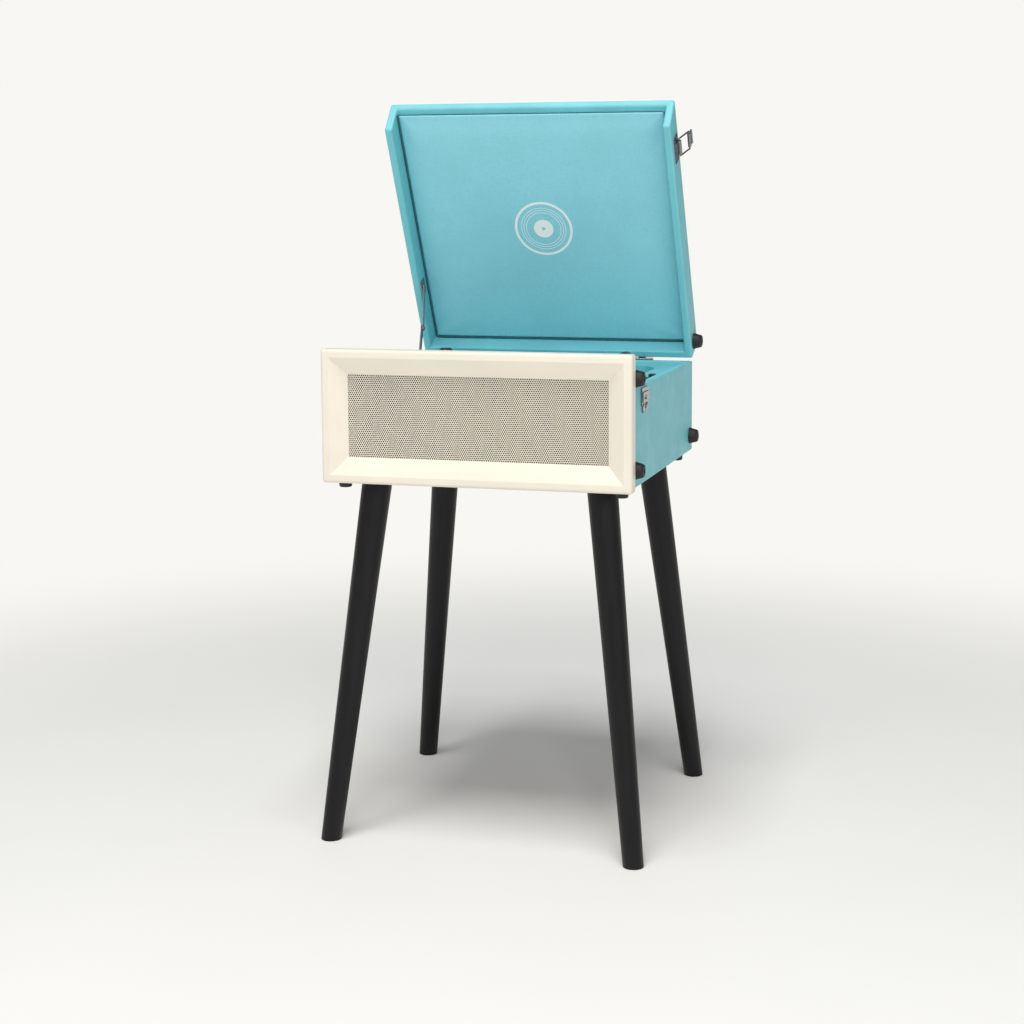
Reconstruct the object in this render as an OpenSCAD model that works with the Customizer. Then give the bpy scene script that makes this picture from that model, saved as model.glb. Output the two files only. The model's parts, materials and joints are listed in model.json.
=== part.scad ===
// Suitcase record player on four screw-in legs, with its lid propped open on a stay.
// +X is to the right of somebody facing the grille, +Y runs to the back and +Z is up.
// The origin is on the floor, under the middle of the whole object.

/* [Case] */
// Width of the cream front frame
frame_w = 457; // [430:1:480]
// Height of the cream front frame
frame_h = 193; // [190:1:196]
// Thickness of the front frame, front to back
frame_t = 20; // [18:1:22]
// Depth from the frame's front face to the case's back face
case_d = 444; // [440:1:460]
// Height of the case's rim above the frame's bottom edge
rim_z = 145; // [143:1:147]
// Thickness of the wooden walls
wall = 12; // [10:0.5:13]
// How far the front frame stands proud of each case side
proud = 4; // [3:0.5:6]
// Height of the deck's top face above the frame's bottom edge
deck_z = 138; // [136:0.5:139]

/* [Front frame] */
// Width of the flat rim round the front frame
rim_w = 12.5; // [8:0.5:16]
// Width of the sloping bevel inside the rim
bevel_w = 24; // [18:1:28]
// Depth of the bevel at the grille
bevel_d = 14; // [8:1:15]
// Distance between neighbouring holes of the grille
grille_pitch = 12; // [8:1:20]

/* [Lid] */
// Angle that the lid stands open
lid_open = 63.5; // [60:0.5:70]
// How far the lid's front edge slants back from its top to its rim
cut_run = 22; // [20:1:24]
// Depth of the lid's recess, from its rim to the padded liner
lid_recess = 28; // [27:0.5:29]

/* [Legs] */
// Height of the frame's bottom edge above the floor
leg_z = 534; // [440:1:560]
// Radius of a leg at its top
leg_r1 = 22; // [18:0.5:24]
// Radius of a leg at its foot
leg_r2 = 15; // [12:0.5:18]
// Tilt of each leg, outwards along its diagonal
leg_tilt = 9; // [6:0.5:10]
// Distance of each leg's top from the middle, across the case
leg_x = 169; // [150:1:172]
// Distance of each leg's top from the middle, along the case
leg_y = 160; // [140:1:162]

/* [Turntable] */
// Radius of the platter
platter_r = 114; // [100:1:116]
// Distance from the tonearm's pivot to the stylus
arm_l = 210; // [205:1:212]
// Radius of the spindle that a record's hole drops over
spindle_r = 3.57; // [3.5:0.01:3.6]

/* [Hidden] */
$fn = 64;
y_front = -242;
half = frame_w / 2 - proud;
inner = half - wall;
floor_z = 3;
bottom_t = 9;
deck_t = 3;
well_z = 119;
lid_gap = 0.3;
lid_half = half - 0.5;
lid_top_t = 10;
hinge_y = case_d + 3.4;
hinge_z = rim_z + 0.15;
hinge_x = 142;
hinge_w = 36;
knuckle_r = 3;
pin_r = 1.25;
fit = 0.05;
plat_x = -35;
plat_y = 215;
mat_t = 1.5;
hub_r = 4.6;
hub_z = 140.5;
belt_r = 70;
pulley_r = 6;
pulley_d = 92;
pulley_x = plat_x - pulley_d * cos(45);
pulley_y = plat_y - pulley_d * sin(45);
belt_z = hub_z - 11;
arm_x = 135;
arm_y = 325;
arm_z = 154;
tube_r = 3.2;
switch_x = 195;
slider_x = 203;
speed_y = 243;
stop_y = 200;
knob_r = 11;
volume_y = 70;
tone_y = 104;
adapter_x = -172;
adapter_y = 398;
speaker_x = 108;
speaker_z = 82;
speaker_r = 46;
panel_x = 110;
panel_z = 62;
bump_y = 35;
bump_back = 423;
stay_a = [322, 154];
stay_b = [372, 128];
stay_l1 = 68.3;
stay_l2 = 68.45;
stay_x = -(inner - 2);
foot_x = 206;
latch_y = 90;
latch_x = 229;
latch_z = rim_z + 30;
link_l = 26;
link_w = 28;
link_tilt = 22;
lever_l = 13;
lever_bend = 16;
handle_y = 232;
handle_z = 104;
handle_w = 120;
handle_x = -(half + 8);

front_frame();
speaker_grille();
front_baffle();
case_sides();
case_back();
case_bottom();
deck_plate();
speaker_chassis();
speaker_cones();
amplifier_board();
motor();
drive_belt();
platter_bearing();
tonearm_base();
arm_rest();
adapter_post();
deck_peg();
connector_panel();
jack_sockets();
latch_keepers();
case_bumpers();
under_feet();
leg_plates();
legs();
leg_studs();
hinge_case_leaves();
hinge_pins();
stay_case_bracket();
handle_brackets();
case_screws();
platter();
slipmat();
spindle();
motor_pulley();
tonearm_turret();
arm_tube();
headshell();
cartridge();
counterweight();
arm_clip();
speed_switch();
autostop_switch();
volume_knob();
tone_knob();
adapter_45();
lid_top();
lid_sides();
lid_back();
lid_liner();
lid_bumper();
latch_bases();
hinge_lid_leaves();
stay_lid_bracket();
stay_upper_link();
stay_lower_link();
latch_link_right();
latch_link_left();
latch_lever_right();
latch_lever_left();
handle();

// Places things that are measured from the bottom of the front frame's face.
module in_case() {
    translate([0, y_front, leg_z])
        children();
}

// Turns things drawn on the closed lid to where the open lid is.
module in_lid() {
    in_case()
        translate([0, hinge_y, hinge_z])
            rotate([-lid_open, 0, 0])
                translate([0, -hinge_y, -hinge_z])
                    children();
}

// Extrudes a shape drawn in the (Y, Z) plane from x0 to x1.
module along_x(x0, x1) {
    translate([x0, 0, 0])
        rotate([90, 0, 90])
            linear_extrude(x1 - x0)
                children();
}

// A block given by its two corners.
module block(lo, hi) {
    translate(lo)
        cube(hi - lo);
}

// A round bar from p along X, Y or Z.
module bar_x(p, l, r) {
    translate(p)
        rotate([0, 90, 0])
            cylinder(h = l, r = r);
}

module bar_y(p, l, r) {
    translate(p)
        rotate([-90, 0, 0])
            cylinder(h = l, r = r);
}

module bar_z(p, l, r) {
    translate(p)
        cylinder(h = l, r = r);
}

// Wooden front frame: a flat rim, a bevel sloping in, and a rebate behind it for the grille.
module front_frame() {
    z0 = rim_w + bevel_w;
    x0 = frame_w / 2 - z0;
    xo = frame_w / 2 - rim_w;
    color("#f0e4d0")
        in_case()
            difference() {
                block([-frame_w / 2, 0, 0], [frame_w / 2, frame_t, frame_h]);
                intersection() {
                    along_x(-frame_w, frame_w)
                        polygon([[-1, rim_w - 1], [0, rim_w], [bevel_d, z0], [bevel_d, frame_h - z0],
                            [0, frame_h - rim_w], [-1, frame_h - rim_w + 1]]);
                    translate([0, 0, -1])
                        linear_extrude(frame_h + 2)
                            polygon([[-xo - 1, -1], [-xo, 0], [-x0, bevel_d], [x0, bevel_d],
                                [xo, 0], [xo + 1, -1]]);
                }
                block([-x0, bevel_d - 1, z0], [x0, frame_t + 1, frame_h - z0]);
                block([-x0 - 6, bevel_d + 1, z0 - 6], [x0 + 6, frame_t + 1, frame_h - z0 + 6]);
            }
}

// Perforated panel in the rebate behind the frame.
module speaker_grille() {
    w = frame_w - 2 * (rim_w + bevel_w) + 12;
    h = frame_h - 2 * (rim_w + bevel_w) + 12;
    nx = floor((w - 16) / grille_pitch);
    nz = floor((h - 16) / grille_pitch);
    color("#e8dac4")
        in_case()
            translate([0, bevel_d + 4, frame_h / 2])
                rotate([90, 0, 0])
                    linear_extrude(3)
                        difference() {
                            square([w, h], center = true);
                            for (i = [0:nx])
                                for (j = [0:nz])
                                    translate([(i - nx / 2) * grille_pitch, (j - nz / 2) * grille_pitch])
                                        circle(r = 2, $fn = 16);
                        }
}

// Board behind the frame that the two loudspeakers are screwed to.
module front_baffle() {
    slope = cut_run / (frame_h - rim_z);
    z_back = rim_z + (cut_run - wall) / slope;
    color("#b99a6b")
        in_case()
            difference() {
                along_x(-inner, inner)
                    polygon([[frame_t, floor_z + bottom_t], [frame_t + wall, floor_z + bottom_t],
                        [frame_t + wall, z_back], [frame_t, frame_h]]);
                for (s = [-1, 1])
                    bar_y([s * speaker_x, frame_t - 1, speaker_z], wall + 2, speaker_r);
            }
}

// The two side boards, with the shoulder that rises to the front frame.
module case_sides() {
    color("#8cc9d5")
        in_case()
            for (s = [-1, 1])
                along_x(s * (half - wall / 2) - wall / 2, s * (half - wall / 2) + wall / 2)
                    polygon([[frame_t, floor_z], [case_d, floor_z], [case_d, rim_z],
                        [frame_t + cut_run, rim_z], [frame_t, frame_h]]);
}

// Back board, cut out for the connector panel.
module case_back() {
    color("#8cc9d5")
        in_case()
            difference() {
                block([-inner, case_d - wall, floor_z], [inner, case_d, rim_z]);
                block([panel_x - 48, case_d - wall - 1, panel_z - 20],
                    [panel_x + 48, case_d + 1, panel_z + 20]);
            }
}

// Bottom board, drilled for the ends of the legs' studs.
module case_bottom() {
    color("#b99a6b")
        in_case()
            difference() {
                block([-inner, frame_t, floor_z], [inner, case_d - wall, floor_z + bottom_t]);
                at_legs()
                    bar_z([0, 0, -20], 60, 5.5);
            }
}

// Outline of the well that the platter and the tonearm are sunk in.
module well_outline(grow) {
    yb = 412;
    xr = 178;
    translate([plat_x, plat_y])
        circle(r = 122 + grow, $fn = 128);
    translate([plat_x - 122 + 90, yb - 90])
        circle(r = 90 + grow, $fn = 128);
    for (y = [plat_y - 122 + 45, yb - 45])
        translate([xr - 45, y])
            circle(r = 45 + grow);
    translate([plat_x - 122 - grow, plat_y])
        square([200, yb - 90 - plat_y]);
    translate([plat_x - 32, plat_y])
        square([xr - 45 - plat_x + 32, yb - plat_y + grow]);
    translate([plat_x, plat_y - 122 - grow])
        square([xr - 45 - plat_x, 244]);
    translate([xr - 100, plat_y - 77])
        square([100 + grow, yb - 45 - plat_y + 77]);
}

// Moulded deck with its sunk well, and with the slot that the lid stay folds into.
module deck_plate() {
    color("#e9e2d4")
        in_case()
            difference() {
                union() {
                    difference() {
                        block([-inner, frame_t + wall, deck_z - deck_t], [inner, case_d - wall, deck_z]);
                        translate([0, 0, deck_z - deck_t - 1])
                            linear_extrude(deck_t + 2)
                                well_outline(0);
                        block([-inner - 1, 292, deck_z - deck_t - 1], [-inner + 9.5, 392, deck_z + 1]);
                        bar_z([switch_x, volume_y, deck_z - 9], 20, 4);
                        bar_z([switch_x, tone_y, deck_z - 9], 20, 4);
                        block([slider_x - 2, speed_y - 12, deck_z - 9], [slider_x + 2, speed_y + 12, deck_z + 1]);
                        block([slider_x - 2, stop_y - 9, deck_z - 9], [slider_x + 2, stop_y + 9, deck_z + 1]);
                    }
                    translate([0, 0, well_z - deck_t])
                        linear_extrude(deck_z - well_z + deck_t)
                            difference() {
                                well_outline(deck_t);
                                well_outline(0);
                            }
                    translate([0, 0, well_z - deck_t])
                        linear_extrude(deck_t)
                            well_outline(deck_t);
                }
                bar_z([plat_x, plat_y, well_z - 9], 20, 8 + fit);
                bar_z([pulley_x, pulley_y, well_z - 9], 20, 9);
            }
}

// The two loudspeakers: a pressed flange and basket with the magnet behind it.
module speaker_chassis() {
    color("#3a3c40")
        in_case()
            for (s = [-1, 1])
                translate([s * speaker_x, frame_t + wall, speaker_z])
                    rotate([-90, 0, 0])
                        rotate_extrude()
                            polygon([[41, 0], [50, 0], [50, 1.5], [44, 1.5], [24, 20], [30, 20], [30, 34],
                                [0, 34], [0, 20], [21, 20], [41, 1.5]]);
}

// Paper cones and dust caps, seen faintly through the grille.
module speaker_cones() {
    color("#2a2622")
        in_case()
            for (s = [-1, 1])
                translate([s * speaker_x, frame_t + wall, speaker_z])
                    rotate([-90, 0, 0])
                        rotate_extrude()
                            polygon([[0, 12], [10, 12], [12, 14], [39, -2], [41, -2], [41, 0],
                                [12, 16.5], [0, 16.5]]);
}

// Amplifier board on its posts, and the two potentiometers under the deck.
module amplifier_board() {
    color("#2f6b45")
        in_case() {
            block([-60, 340, 24], [60, 410, 25.6]);
            for (x = [-54, 54])
                for (y = [346, 404])
                    bar_z([x, y, floor_z + bottom_t], 12, 3);
            block([-40, 352, 25.6], [10, 372, 45]);
            for (x = [26, 42])
                bar_z([x, 384, 25.6], 22, 6);
            for (y = [volume_y, tone_y])
                bar_z([switch_x, y, deck_z - deck_t - 12], 12, 8);
        }
}

// Small belt-drive motor hung under the well.
module motor() {
    color("#9a9ca0")
        in_case()
            difference() {
                union() {
                    bar_z([pulley_x, pulley_y, well_z - deck_t - 26], 26, 17);
                    bar_z([pulley_x, pulley_y, well_z - deck_t], 2, 5);
                }
                bar_z([pulley_x, pulley_y, well_z - deck_t - 20], 30, 1 + fit);
            }
}

// Solid bounded by an open belt round the platter's inner rim and the pulley, from z0 to z1.
// The straight runs start a little inside the two rounds, so that they cut them cleanly.
module belt_loop(grow, z0, z1) {
    a = acos((belt_r - pulley_r) / pulley_d);
    join = 0.06;
    r0 = belt_r + grow;
    r1 = pulley_r + grow;
    s0 = r0 - join;
    s1 = r1 - join;
    translate([0, 0, z0]) {
        cylinder(h = z1 - z0, r = r0, $fn = 96);
        translate([pulley_d, 0, 0])
            cylinder(h = z1 - z0, r = r1);
        linear_extrude(z1 - z0)
            polygon([[s0 * cos(a), s0 * sin(a)], [pulley_d + s1 * cos(a), s1 * sin(a)],
                [pulley_d + s1 * cos(a), -s1 * sin(a)], [s0 * cos(a), -s0 * sin(a)]]);
    }
}

// Flat rubber belt.
module drive_belt() {
    color("#1c1c1e")
        in_case()
            translate([plat_x, plat_y, belt_z])
                rotate([0, 0, 225])
                    difference() {
                        belt_loop(1.2, 0, 4);
                        belt_loop(0.3, -1, 5);
                    }
}

// Bearing that the spindle turns in, with its thrust cap.
module platter_bearing() {
    color("#c9b26a")
        in_case()
            translate([plat_x, plat_y, 0])
                difference() {
                    union() {
                        bar_z([0, 0, well_z - 17], 17, 8);
                        bar_z([0, 0, well_z], 2, 14);
                    }
                    bar_z([0, 0, well_z - 14], 20, 3 + fit);
                }
}

// Column that the tonearm swings on.
module tonearm_base() {
    color("#232428")
        in_case()
            translate([arm_x, arm_y, 0])
                difference() {
                    union() {
                        bar_z([0, 0, well_z], 3, 22);
                        bar_z([0, 0, well_z], arm_z - 14.3 - well_z, 15);
                    }
                    bar_z([0, 0, well_z + 1.5], 30, 4 + fit);
                }
}

// Post with a shelf and a stop for the parked tonearm, and ears for its clip.
module arm_rest() {
    color("#232428")
        in_case()
            translate([arm_x, arm_y - 148, 0])
                difference() {
                    union() {
                        block([-6, -6, well_z], [12, 6, well_z + 3]);
                        block([-4, -4, well_z], [12, 4, arm_z - tube_r - 0.4]);
                        block([4, -4, well_z], [12, 4, arm_z + 2]);
                        block([6, -4, well_z], [12, -3.3, arm_z + 8]);
                        block([6, 3.3, well_z], [12, 4, arm_z + 8]);
                    }
                    bar_y([9, -10, arm_z + 5], 20, 1 + fit);
                }
}

// Peg on the deck that the single adapter is parked on.
module adapter_post() {
    color("#232428")
        in_case()
            translate([adapter_x, adapter_y, deck_z])
                bar_z([0, 0, 0], 9, 3.52);
}

// Short upright peg beside the adapter.
module deck_peg() {
    color("#232428")
        in_case()
            block([-155.5, 369, deck_z], [-144.5, 375, deck_z + 20]);
}

// Plate on the back that carries the sockets.
module connector_panel() {
    color("#2a2b2f")
        in_case()
            difference() {
                block([panel_x - 54, case_d, panel_z - 26], [panel_x + 54, case_d + 2, panel_z + 26]);
                for (x = [-30, -8])
                    bar_y([panel_x + x, case_d - 1, panel_z], 4, 5.5);
                bar_y([panel_x + 14, case_d - 1, panel_z], 4, 4);
                bar_y([panel_x + 36, case_d - 1, panel_z], 4, 6);
            }
}

// Two line-out sockets, one line-in socket and the power inlet.
module jack_sockets() {
    color("#b9bcc0")
        in_case()
            translate([panel_x, case_d, panel_z]) {
                for (x = [-30, -8])
                    socket(x, 5.5, 9, 1.6);
                socket(14, 4, 3, 1.75);
                socket(36, 6, 2.5, 3.2);
            }
}

// One round socket: outside radius r, standing out by l, with a bore b.
module socket(x, r, l, b) {
    difference() {
        union() {
            bar_y([x, -10, 0], 12, r);
            bar_y([x, 2, 0], l - 2, r - 0.8);
        }
        bar_y([x, -8, 0], 30, b);
    }
}

// Catch plates on both sides of the case, each with a raised catch, a stud and a slot.
module latch_keepers() {
    color("#c8c9cc")
        in_case()
            for (s = [-1, 1])
                translate([s * half, latch_y, 0])
                    scale([s, 1, 1])
                        difference() {
                            union() {
                                along_x(0, 2.4)
                                    keeper_outline();
                                along_x(0, 4)
                                    translate([0, 127])
                                        square([37, 14], center = true);
                                bar_x([4, -2, 126], 1.5, 3);
                            }
                            along_x(0.8, 6)
                                translate([3, 114])
                                    square([7, 9], center = true);
                        }
}

// Outline of a catch plate: wide above, narrower and rounded below.
module keeper_outline() {
    translate([-20, 120])
        square([40, 20]);
    translate([-14, 111])
        square([28, 10]);
    for (y = [-7, 7])
        translate([y, 111])
            circle(r = 7);
    for (y = [-14, 14])
        translate([y, 120])
            circle(r = 6);
}

// Rubber bumper drawn along +X.
module bumper(p) {
    translate(p)
        rotate([0, 90, 0])
            cylinder(h = 13.5, r1 = 12.5, r2 = 8.8);
}

// The three bumpers on the case's right side, which is what the closed case stands on.
module case_bumpers() {
    color("#303238")
        in_case() {
            bumper([half, bump_y, 29]);
            bumper([half, bump_y, 157.5]);
            bumper([half, bump_back, 28]);
        }
}

// Four rubber feet under the case for use without its legs.
module under_feet() {
    color("#26272b")
        in_case()
            for (x = [-foot_x, foot_x])
                for (y = [35, 412])
                    translate([x, y, -10])
                        cylinder(h = 10 + floor_z, r1 = 9, r2 = 10);
}

// Puts children at each leg's top with +Z up the leg.
module at_legs() {
    for (sx = [-1, 1])
        for (sy = [-1, 1])
            translate([sx * leg_x, 230 + sy * leg_y, 0])
                rotate([0, 0, atan2(sy, sx)])
                    rotate([0, -leg_tilt, 0])
                        children();
}

// Steel mounting plates with their tilted threaded collars.
module leg_plates() {
    color("#8f9298")
        in_case()
            difference() {
                union() {
                    for (sx = [-1, 1])
                        for (sy = [-1, 1])
                            translate([sx * leg_x, 230 + sy * leg_y, floor_z - 1.25])
                                cube([50, 50, 2.5], center = true);
                    intersection() {
                        at_legs()
                            bar_z([0, 0, -5], 20, 13);
                        block([-300, 0, -20], [300, 500, floor_z - 1]);
                    }
                }
                at_legs()
                    bar_z([0, 0, -20], 40, 4);
            }
}

// Turned tapering legs, cut level at the floor.
module legs() {
    l = (leg_z - 5) / cos(leg_tilt) + 20;
    r_low = leg_r1 + (leg_r2 - leg_r1) * l / (l - 20);
    color("#2b2c30")
        in_case()
            difference() {
                at_legs()
                    difference() {
                        translate([0, 0, -5 - l])
                            cylinder(h = l, r1 = r_low, r2 = leg_r1);
                        bar_z([0, 0, -25], 30, 4);
                    }
                block([-400, -200, -leg_z - 60], [400, 700, -leg_z]);
            }
}

// Threaded studs between legs and plates.
module leg_studs() {
    color("#b9bcc0")
        in_case()
            at_legs()
                bar_z([0, 0, -25], 34, 4);
}

// Knuckles and leaf of one hinge half: up = 1 for the lid's half, -1 for the case's.
module hinge_half(up) {
    spans = up > 0 ? [[-6, 6]] : [[-hinge_w / 2, -6.3], [6.3, hinge_w / 2]];
    difference() {
        union() {
            for (s = spans) {
                bar_x([s[0], hinge_y, hinge_z], s[1] - s[0], knuckle_r);
                block([s[0], case_d, hinge_z + min(0, up * 6)], [s[1], case_d + 1.2, hinge_z + max(0, up * 6)]);
            }
            block([-hinge_w / 2, case_d, hinge_z + min(up * 5, up * 24)],
                [hinge_w / 2, case_d + 1.2, hinge_z + max(up * 5, up * 24)]);
        }
        bar_x([-hinge_w, hinge_y, hinge_z], 2 * hinge_w, pin_r + (up > 0 ? fit : 0));
    }
}

module hinge_case_leaves() {
    color("#c8c9cc")
        in_case()
            for (x = [-hinge_x, hinge_x])
                translate([x, 0, 0])
                    hinge_half(-1);
}

module hinge_pins() {
    color("#b9bcc0")
        in_case()
            for (x = [-hinge_x, hinge_x])
                bar_x([x - hinge_w / 2, hinge_y, hinge_z], hinge_w, pin_r);
}

// Plate and pin inside the case's left side, for the stay's lower link.
module stay_case_bracket() {
    color("#b9bcc0")
        in_case() {
            block([-inner, stay_b[0] - 14, stay_b[1] - 16], [-inner + 1.2, stay_b[0] + 14, stay_b[1] + 5]);
            bar_x([-inner, stay_b[0], stay_b[1]], 3.5, 2);
        }
}

// Two eyes on the case's left side for the carrying handle.
module handle_brackets() {
    color("#c8c9cc")
        in_case()
            difference() {
                for (s = [-1, 1])
                    translate([0, handle_y + s * (handle_w / 2 + 6), handle_z]) {
                        block([-half - 1.6, -12, -14], [-half, 12, 14]);
                        block([handle_x, -4, -5], [-half, 4, 5]);
                        bar_y([handle_x, -4, 0], 8, 5);
                    }
                bar_y([handle_x, 100, handle_z], 300, 3 + fit);
            }
}

// Screw heads on the fittings; they are all alike.
module case_screws() {
    color("#b9bcc0")
        in_case() {
            for (sx = [-1, 1])
                for (sy = [-1, 1])
                    for (dx = [-19, 19])
                        for (dy = [-19, 19])
                            screw([sx * leg_x + dx, 230 + sy * leg_y + dy, floor_z - 2.5], [180, 0, 0]);
            for (x = [-50, 50])
                for (z = [-22, 22])
                    screw([panel_x + x, case_d + 2, panel_z + z], [-90, 0, 0]);
            for (x = [-hinge_x, hinge_x])
                for (dx = [-12, 0, 12])
                    screw([x + dx, case_d + 1.2, hinge_z - 17], [-90, 0, 0]);
            for (s = [-1, 1])
                for (y = [-9.5, 11])
                    screw([s * (half + 2.4), latch_y + y, 115.5], [0, s * 90, 0]);
            for (s = [-1, 1])
                for (z = [-10, 10])
                    screw([-half - 1.6, handle_y + s * (handle_w / 2 + 6), handle_z + z], [0, -90, 0]);
        }
}

// One round-headed screw standing on its plate.
module screw(p, turn) {
    translate(p)
        rotate(turn)
            cylinder(h = 1.2, r1 = 2.8, r2 = 1.8, $fn = 24);
}

// Platter with its rim, hub and the inner rim that the belt drives.
module platter() {
    color("#2a2b2f")
        in_case()
            translate([plat_x, plat_y, 0])
                rotate_extrude($fn = 128)
                    polygon([[hub_r, 121.3], [11, 121.3], [11, hub_z - 3.5], [belt_r - 4, hub_z - 3.5],
                        [belt_r - 4, belt_z - 2.5], [belt_r, belt_z - 2.5], [belt_r, hub_z - 3.5],
                        [platter_r - 4, hub_z - 3.5], [platter_r - 4, 124], [platter_r, 124],
                        [platter_r, hub_z], [hub_r, hub_z]]);
}

// Felt mat lying on the platter.
module slipmat() {
    color("#3a3b40")
        in_case()
            translate([plat_x, plat_y, 0])
                rotate_extrude($fn = 128)
                    polygon([[hub_r, hub_z], [platter_r - 2, hub_z], [platter_r - 2, hub_z + mat_t],
                        [hub_r, hub_z + mat_t]]);
}

// Spindle: the thin shaft runs in the bearing, the collar fills the platter's hub, and the
// record's hole drops over the pin.
module spindle() {
    color("#d0d2d5")
        in_case()
            translate([plat_x, plat_y, 0])
                rotate_extrude()
                    polygon([[0, well_z - 13.7], [3, well_z - 13.7], [3, 121.3], [hub_r, 121.3],
                        [hub_r, hub_z + mat_t], [spindle_r, hub_z + mat_t], [spindle_r, hub_z + 11],
                        [2, hub_z + 13.5], [0, hub_z + 14]]);
}

// Motor shaft with its pulley.
module motor_pulley() {
    color("#c9b26a")
        in_case()
            translate([pulley_x, pulley_y, 0])
                rotate_extrude()
                    polygon([[0, 97], [1, 97], [1, belt_z - 3], [7, belt_z - 3], [7, belt_z - 1.5],
                        [pulley_r, belt_z - 0.8], [pulley_r, belt_z + 4.8], [7, belt_z + 5.5],
                        [7, belt_z + 6.5], [0, belt_z + 6.5]]);
}

// Turning yoke that carries the tonearm's cross pin.
module tonearm_turret() {
    color("#3a3c40")
        in_case()
            translate([arm_x, arm_y, 0])
                difference() {
                    union() {
                        bar_z([0, 0, well_z + 2], arm_z - 14 - well_z - 2, 4);
                        bar_z([0, 0, arm_z - 14], 4, 13);
                        for (s = [-1, 1])
                            block([s * 8.5 - 1.5, -6, arm_z - 11], [s * 8.5 + 1.5, 6, arm_z + 4]);
                    }
                    bar_x([-20, 0, arm_z], 40, 1.5 + fit);
                }
}

// Tonearm tube with its cross pin and pivot block.
module arm_tube() {
    color("#c8c9cc")
        in_case()
            translate([arm_x, arm_y, arm_z]) {
                bar_y([0, -arm_l + 16, 0], arm_l - 16 + 46, tube_r);
                bar_x([-10, 0, 0], 20, 1.5);
                block([-6.7, -5, -4.5], [6.7, 5, 4.5]);
            }
}

// Finger-lift shell on the front end of the tube.
module headshell() {
    color("#232428")
        in_case()
            translate([arm_x, arm_y - arm_l, arm_z])
                difference() {
                    union() {
                        block([-8, -12, -3], [8, 20, 1]);
                        block([8, -6, -1], [17, -2, 1]);
                        bar_y([0, 12, 0], 14, tube_r + 1.6);
                    }
                    bar_y([0, 16, 0], 20, tube_r);
                }
}

// Cartridge with its stylus.
module cartridge() {
    color("#b3402e")
        in_case()
            translate([arm_x, arm_y - arm_l, arm_z]) {
                block([-6, -8, -8.5], [6, 10, -3]);
                translate([0, 0, -10.4])
                    cylinder(h = 2, r1 = 0.3, r2 = 1.2);
            }
}

// Counterweight on the back end of the tube.
module counterweight() {
    color("#3a3c40")
        in_case()
            translate([arm_x, arm_y + 20, arm_z])
                difference() {
                    bar_y([0, 0, 0], 20, 11);
                    bar_y([0, -1, 0], 30, tube_r);
                }
}

// Clip that swings over the parked tube; it lies open to the right.
module arm_clip() {
    color("#232428")
        in_case()
            translate([arm_x + 9, arm_y - 148, arm_z + 5]) {
                bar_y([0, -4, 0], 8, 1);
                block([0, -3, -1], [16, 3, 1]);
                bar_y([0, -3, 0], 6, 1.6);
                block([14, -3, 0], [16, 3, 4]);
            }
}

// Slider for the three speeds.
module speed_switch() {
    color("#1c1c1e")
        in_case()
            translate([slider_x, speed_y, deck_z]) {
                block([-1.6, -3, -5], [1.6, 3, 1]);
                block([-4, -8, 0.3], [4, 8, 5]);
            }
}

// Slider for the automatic stop.
module autostop_switch() {
    color("#1c1c1e")
        in_case()
            translate([slider_x, stop_y - 3, deck_z]) {
                block([-1.6, -3, -5], [1.6, 3, 1]);
                block([-4, -7, 0.3], [4, 7, 4.5]);
            }
}

// Round knob with a raised pointer, on its shaft.
module knob() {
    difference() {
        union() {
            bar_z([0, 0, -2.7], 3, 3);
            bar_z([0, 0, 0.3], 2, knob_r);
            translate([0, 0, 2.3])
                cylinder(h = 10, r1 = knob_r - 1, r2 = knob_r - 2);
        }
        block([-0.7, knob_r - 6, 11.3], [0.7, knob_r + 2, 14]);
    }
}

module volume_knob() {
    color("#e9dcc5")
        in_case()
            translate([switch_x, volume_y, deck_z])
                knob();
}

module tone_knob() {
    color("#e9dcc5")
        in_case()
            translate([switch_x, tone_y, deck_z])
                knob();
}

// Adapter for records with a large centre hole.
module adapter_45() {
    color("#232428")
        in_case()
            translate([adapter_x, adapter_y, deck_z])
                rotate_extrude()
                    polygon([[3.62, 0.3], [19, 0.3], [19, 3], [13.5, 5], [12, 18.5], [8.5, 23.5],
                        [3.62, 23.5]]);
}

// Top board of the lid.
module lid_top() {
    z = frame_h - lid_top_t;
    slope = cut_run / (frame_h - rim_z);
    color("#a8e0ea")
        in_lid()
            along_x(-lid_half, lid_half)
                polygon([[case_d, z], [frame_t + 0.5 + lid_top_t * slope, z], [frame_t + 0.5, frame_h],
                    [case_d, frame_h]]);
}

// The lid's two side boards, their front ends cut to the shoulder's slant.
module lid_sides() {
    z = frame_h - lid_top_t;
    slope = cut_run / (frame_h - rim_z);
    color("#8cc9d5")
        in_lid()
            for (s = [-1, 1])
                along_x(s * (lid_half - wall / 2) - wall / 2, s * (lid_half - wall / 2) + wall / 2)
                    polygon([[case_d, rim_z + lid_gap], [frame_t + cut_run + 0.5, rim_z + lid_gap],
                        [frame_t + 0.5 + lid_top_t * slope, z], [case_d, z]]);
}

// The lid's back board.
module lid_back() {
    color("#8cc9d5")
        in_lid()
            block([-lid_half + wall, case_d - wall, rim_z + lid_gap],
                [lid_half - wall, case_d, frame_h - lid_top_t]);
}

// Padded liner inside the lid.
module lid_liner() {
    color("#8cc9d5")
        in_lid()
            block([-lid_half + wall, frame_t + 11, rim_z + lid_recess],
                [lid_half - wall, case_d - wall, frame_h - lid_top_t]);
}

// Fourth bumper, on the lid.
module lid_bumper() {
    color("#303238")
        in_lid()
            bumper([lid_half, bump_back + 1, rim_z + 21]);
}

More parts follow.
